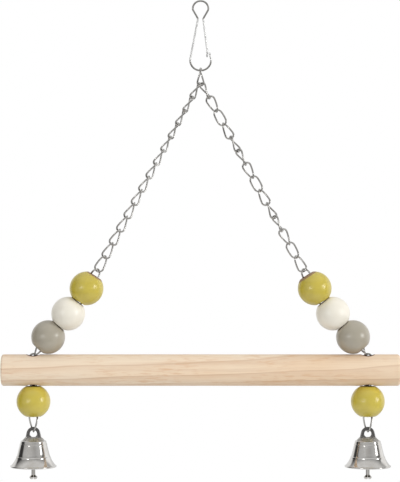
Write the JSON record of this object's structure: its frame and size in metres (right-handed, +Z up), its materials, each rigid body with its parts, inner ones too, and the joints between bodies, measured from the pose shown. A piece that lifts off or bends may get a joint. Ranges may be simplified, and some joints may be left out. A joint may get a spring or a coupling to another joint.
{
  "type": "bird swing",
  "caption": "Wooden dowel perch hung from a wire snap hook by two twist-link chains threaded with painted wooden beads, with a small flared bell under each end.",
  "frame": {"origin": "middle of the eye at the top of the snap hook, where the swing is hung", "axes": "+Z up, +X along the perch, +Y from front to back"},
  "size_m": [0.2, 0.0232, 0.2406],
  "materials": {
    "hook_wire": "bright nickel",
    "chain": "bright nickel",
    "bell_metal": "polished nickel",
    "perch_wood": "bare sanded pine",
    "olive_paint": "satin paint",
    "cream_paint": "satin paint",
    "grey_paint": "satin paint"
  },
  "bodies": {
    "hook": {"snap_hook": "hook_wire"},
    "gate": {"snap_hook_gate": "hook_wire"},
    "yoke": {"yoke_link": "chain"},
    "left_link_01": {"left_link_01": "chain"},
    "left_link_02": {"left_link_02": "chain"},
    "left_link_03": {"left_link_03": "chain"},
    "left_link_04": {"left_link_04": "chain"},
    "left_link_05": {"left_link_05": "chain"},
    "left_link_06": {"left_link_06": "chain"},
    "left_link_07": {"left_link_07": "chain"},
    "left_link_08": {"left_link_08": "chain"},
    "left_link_09": {"left_link_09": "chain"},
    "left_link_10": {"left_link_10": "chain"},
    "left_link_11": {"left_link_11": "chain"},
    "left_link_12": {"left_link_12": "chain"},
    "left_link_13": {"left_link_13": "chain"},
    "left_link_14": {"left_link_14": "chain"},
    "left_bead_chain": {"left_bead_links": "chain"},
    "left_grey_bead": {"left_grey_bead": "grey_paint"},
    "left_cream_bead": {"left_cream_bead": "cream_paint"},
    "left_olive_bead": {"left_olive_bead": "olive_paint"},
    "right_link_01": {"right_link_01": "chain"},
    "right_link_02": {"right_link_02": "chain"},
    "right_link_03": {"right_link_03": "chain"},
    "right_link_04": {"right_link_04": "chain"},
    "right_link_05": {"right_link_05": "chain"},
    "right_link_06": {"right_link_06": "chain"},
    "right_link_07": {"right_link_07": "chain"},
    "right_link_08": {"right_link_08": "chain"},
    "right_link_09": {"right_link_09": "chain"},
    "right_link_10": {"right_link_10": "chain"},
    "right_link_11": {"right_link_11": "chain"},
    "right_link_12": {"right_link_12": "chain"},
    "right_link_13": {"right_link_13": "chain"},
    "right_link_14": {"right_link_14": "chain"},
    "right_bead_chain": {"right_bead_links": "chain"},
    "right_grey_bead": {"right_grey_bead": "grey_paint"},
    "right_cream_bead": {"right_cream_bead": "cream_paint"},
    "right_olive_bead": {"right_olive_bead": "olive_paint"},
    "perch": {"perch": "perch_wood", "left_perch_links": "chain", "left_lower_bead": "olive_paint", "left_stop_pin": "chain", "right_perch_links": "chain", "right_lower_bead": "olive_paint", "right_stop_pin": "chain"},
    "left_bell_link": {"left_bell_link": "chain"},
    "left_bell": {"left_bell_crown": "bell_metal", "left_bell_shell": "bell_metal"},
    "left_clapper": {"left_bell_clapper": "bell_metal"},
    "right_bell_link": {"right_bell_link": "chain"},
    "right_bell": {"right_bell_crown": "bell_metal", "right_bell_shell": "bell_metal"},
    "right_clapper": {"right_bell_clapper": "bell_metal"}
  },
  "joints": [
    {"name": "gate_flex", "type": "hinge", "parent": "hook", "child": "gate", "pos_m": [0.0014, 0, -0.00595], "axis": [0, 1, 0], "range_deg": [0, 10], "stiffness_Nm_per_rad": 0.1},
    {"name": "swing", "type": "hinge", "parent": "hook", "child": "yoke", "pos_m": [0, 0, -0.031], "axis": [1, 0, 0], "range_deg": [-50, 50]},
    {"name": "left_sway", "type": "hinge", "parent": "yoke", "child": "left_link_01", "pos_m": [0, 0, -0.03646], "axis": [-0.6157, 0.788, 0], "range_deg": [-20, 20]},
    {"name": "left_flex_02", "type": "hinge", "parent": "left_link_01", "child": "left_link_02", "pos_m": [0, 0, -0.04457], "axis": [1, 0, 0], "range_deg": [-5, 5]},
    {"name": "left_flex_03", "type": "hinge", "parent": "left_link_02", "child": "left_link_03", "pos_m": [0, 0, -0.05125], "axis": [1, 0, 0], "range_deg": [-5, 5]},
    {"name": "left_flex_04", "type": "hinge", "parent": "left_link_03", "child": "left_link_04", "pos_m": [0, 0, -0.05793], "axis": [1, 0, 0], "range_deg": [-5, 5]},
    {"name": "left_flex_05", "type": "hinge", "parent": "left_link_04", "child": "left_link_05", "pos_m": [0, 0, -0.0646], "axis": [1, 0, 0], "range_deg": [-5, 5]},
    {"name": "left_flex_06", "type": "hinge", "parent": "left_link_05", "child": "left_link_06", "pos_m": [0, 0, -0.07128], "axis": [1, 0, 0], "range_deg": [-5, 5]},
    {"name": "left_flex_07", "type": "hinge", "parent": "left_link_06", "child": "left_link_07", "pos_m": [0, 0, -0.07796], "axis": [1, 0, 0], "range_deg": [-5, 5]},
    {"name": "left_flex_08", "type": "hinge", "parent": "left_link_07", "child": "left_link_08", "pos_m": [0, 0, -0.08464], "axis": [1, 0, 0], "range_deg": [-5, 5]},
    {"name": "left_flex_09", "type": "hinge", "parent": "left_link_08", "child": "left_link_09", "pos_m": [0, 0, -0.09132], "axis": [1, 0, 0], "range_deg": [-5, 5]},
    {"name": "left_flex_10", "type": "hinge", "parent": "left_link_09", "child": "left_link_10", "pos_m": [0, 0, -0.098], "axis": [1, 0, 0], "range_deg": [-5, 5]},
    {"name": "left_flex_11", "type": "hinge", "parent": "left_link_10", "child": "left_link_11", "pos_m": [0, 0, -0.10468], "axis": [1, 0, 0], "range_deg": [-5, 5]},
    {"name": "left_flex_12", "type": "hinge", "parent": "left_link_11", "child": "left_link_12", "pos_m": [0, 0, -0.11135], "axis": [1, 0, 0], "range_deg": [-5, 5]},
    {"name": "left_flex_13", "type": "hinge", "parent": "left_link_12", "child": "left_link_13", "pos_m": [0, 0, -0.11803], "axis": [1, 0, 0], "range_deg": [-5, 5]},
    {"name": "left_flex_14", "type": "hinge", "parent": "left_link_13", "child": "left_link_14", "pos_m": [0, 0, -0.12471], "axis": [1, 0, 0], "range_deg": [-5, 5]},
    {"name": "left_bead_chain_flex", "type": "hinge", "parent": "left_link_14", "child": "left_bead_chain", "pos_m": [0, 0, -0.13139], "axis": [1, 0, 0], "range_deg": [-5, 5]},
    {"name": "left_grey_spin", "type": "hinge", "parent": "left_bead_chain", "child": "left_grey_bead", "pos_m": [-0.0766, 0, -0.16495], "axis": [0.6691, 0, 0.7431], "continuous": true},
    {"name": "left_cream_spin", "type": "hinge", "parent": "left_bead_chain", "child": "left_cream_bead", "pos_m": [-0.06654, 0, -0.15317], "axis": [0.6293, 0, 0.7771], "continuous": true},
    {"name": "left_olive_spin", "type": "hinge", "parent": "left_bead_chain", "child": "left_olive_bead", "pos_m": [-0.05732, 0, -0.14048], "axis": [0.5446, 0, 0.8387], "continuous": true},
    {"name": "right_sway", "type": "hinge", "parent": "yoke", "child": "right_link_01", "pos_m": [0, 0, -0.03646], "axis": [-0.6157, 0.788, 0], "range_deg": [-20, 20]},
    {"name": "right_flex_02", "type": "hinge", "parent": "right_link_01", "child": "right_link_02", "pos_m": [0, 0, -0.04457], "axis": [1, 0, 0], "range_deg": [-5, 5]},
    {"name": "right_flex_03", "type": "hinge", "parent": "right_link_02", "child": "right_link_03", "pos_m": [0, 0, -0.05125], "axis": [1, 0, 0], "range_deg": [-5, 5]},
    {"name": "right_flex_04", "type": "hinge", "parent": "right_link_03", "child": "right_link_04", "pos_m": [0, 0, -0.05793], "axis": [1, 0, 0], "range_deg": [-5, 5]},
    {"name": "right_flex_05", "type": "hinge", "parent": "right_link_04", "child": "right_link_05", "pos_m": [0, 0, -0.0646], "axis": [1, 0, 0], "range_deg": [-5, 5]},
    {"name": "right_flex_06", "type": "hinge", "parent": "right_link_05", "child": "right_link_06", "pos_m": [0, 0, -0.07128], "axis": [1, 0, 0], "range_deg": [-5, 5]},
    {"name": "right_flex_07", "type": "hinge", "parent": "right_link_06", "child": "right_link_07", "pos_m": [0, 0, -0.07796], "axis": [1, 0, 0], "range_deg": [-5, 5]},
    {"name": "right_flex_08", "type": "hinge", "parent": "right_link_07", "child": "right_link_08", "pos_m": [0, 0, -0.08464], "axis": [1, 0, 0], "range_deg": [-5, 5]},
    {"name": "right_flex_09", "type": "hinge", "parent": "right_link_08", "child": "right_link_09", "pos_m": [0, 0, -0.09132], "axis": [1, 0, 0], "range_deg": [-5, 5]},
    {"name": "right_flex_10", "type": "hinge", "parent": "right_link_09", "child": "right_link_10", "pos_m": [0, 0, -0.098], "axis": [1, 0, 0], "range_deg": [-5, 5]},
    {"name": "right_flex_11", "type": "hinge", "parent": "right_link_10", "child": "right_link_11", "pos_m": [0, 0, -0.10468], "axis": [1, 0, 0], "range_deg": [-5, 5]},
    {"name": "right_flex_12", "type": "hinge", "parent": "right_link_11", "child": "right_link_12", "pos_m": [0, 0, -0.11135], "axis": [1, 0, 0], "range_deg": [-5, 5]},
    {"name": "right_flex_13", "type": "hinge", "parent": "right_link_12", "child": "right_link_13", "pos_m": [0, 0, -0.11803], "axis": [1, 0, 0], "range_deg": [-5, 5]},
    {"name": "right_flex_14", "type": "hinge", "parent": "right_link_13", "child": "right_link_14", "pos_m": [0, 0, -0.12471], "axis": [1, 0, 0], "range_deg": [-5, 5]},
    {"name": "right_bead_chain_flex", "type": "hinge", "parent": "right_link_14", "child": "right_bead_chain", "pos_m": [0, 0, -0.13139], "axis": [1, 0, 0], "range_deg": [-5, 5]},
    {"name": "right_grey_spin", "type": "hinge", "parent": "right_bead_chain", "child": "right_grey_bead", "pos_m": [0.0766, 0, -0.16495], "axis": [-0.6691, 0, 0.7431], "continuous": true},
    {"name": "right_cream_spin", "type": "hinge", "parent": "right_bead_chain", "child": "right_cream_bead", "pos_m": [0.06654, 0, -0.15317], "axis": [-0.6293, 0, 0.7771], "continuous": true},
    {"name": "right_olive_spin", "type": "hinge", "parent": "right_bead_chain", "child": "right_olive_bead", "pos_m": [0.05732, 0, -0.14048], "axis": [-0.5446, 0, 0.8387], "continuous": true},
    {"name": "perch_roll", "type": "hinge", "parent": "left_bead_chain", "child": "perch", "pos_m": [0, 0, -0.1737], "axis": [1, 0, 0], "range_deg": [-10, 10]},
    {"name": "left_bell_link_swing", "type": "hinge", "parent": "perch", "child": "left_bell_link", "pos_m": [-0.084, 0, -0.20429], "axis": [1, 0, 0], "range_deg": [-15, 15]},
    {"name": "left_bell_swing", "type": "hinge", "parent": "left_bell_link", "child": "left_bell", "pos_m": [-0.084, 0, -0.21241], "axis": [0, 1, 0], "range_deg": [-40, 40]},
    {"name": "left_clapper_swing", "type": "hinge", "parent": "left_bell", "child": "left_clapper", "pos_m": [-0.084, 0, -0.22091], "axis": [0, 1, 0], "range_deg": [-41, 41]},
    {"name": "right_bell_link_swing", "type": "hinge", "parent": "perch", "child": "right_bell_link", "pos_m": [0.084, 0, -0.20429], "axis": [1, 0, 0], "range_deg": [-15, 15]},
    {"name": "right_bell_swing", "type": "hinge", "parent": "right_bell_link", "child": "right_bell", "pos_m": [0.084, 0, -0.21241], "axis": [0, 1, 0], "range_deg": [-40, 40]},
    {"name": "right_clapper_swing", "type": "hinge", "parent": "right_bell", "child": "right_clapper", "pos_m": [0.084, 0, -0.22091], "axis": [0, 1, 0], "range_deg": [-41, 41]}
  ],
  "couplings": [
    {"joint": "right_sway", "follows": "left_sway", "ratio": 1},
    {"joint": "right_flex_02", "follows": "left_flex_02", "ratio": 1},
    {"joint": "right_flex_03", "follows": "left_flex_03", "ratio": 1},
    {"joint": "right_flex_04", "follows": "left_flex_04", "ratio": 1},
    {"joint": "right_flex_05", "follows": "left_flex_05", "ratio": 1},
    {"joint": "right_flex_06", "follows": "left_flex_06", "ratio": 1},
    {"joint": "right_flex_07", "follows": "left_flex_07", "ratio": 1},
    {"joint": "right_flex_08", "follows": "left_flex_08", "ratio": 1},
    {"joint": "right_flex_09", "follows": "left_flex_09", "ratio": 1},
    {"joint": "right_flex_10", "follows": "left_flex_10", "ratio": 1},
    {"joint": "right_flex_11", "follows": "left_flex_11", "ratio": 1},
    {"joint": "right_flex_12", "follows": "left_flex_12", "ratio": 1},
    {"joint": "right_flex_13", "follows": "left_flex_13", "ratio": 1},
    {"joint": "right_flex_14", "follows": "left_flex_14", "ratio": 1},
    {"joint": "right_bead_chain_flex", "follows": "left_bead_chain_flex", "ratio": 1}
  ]
}
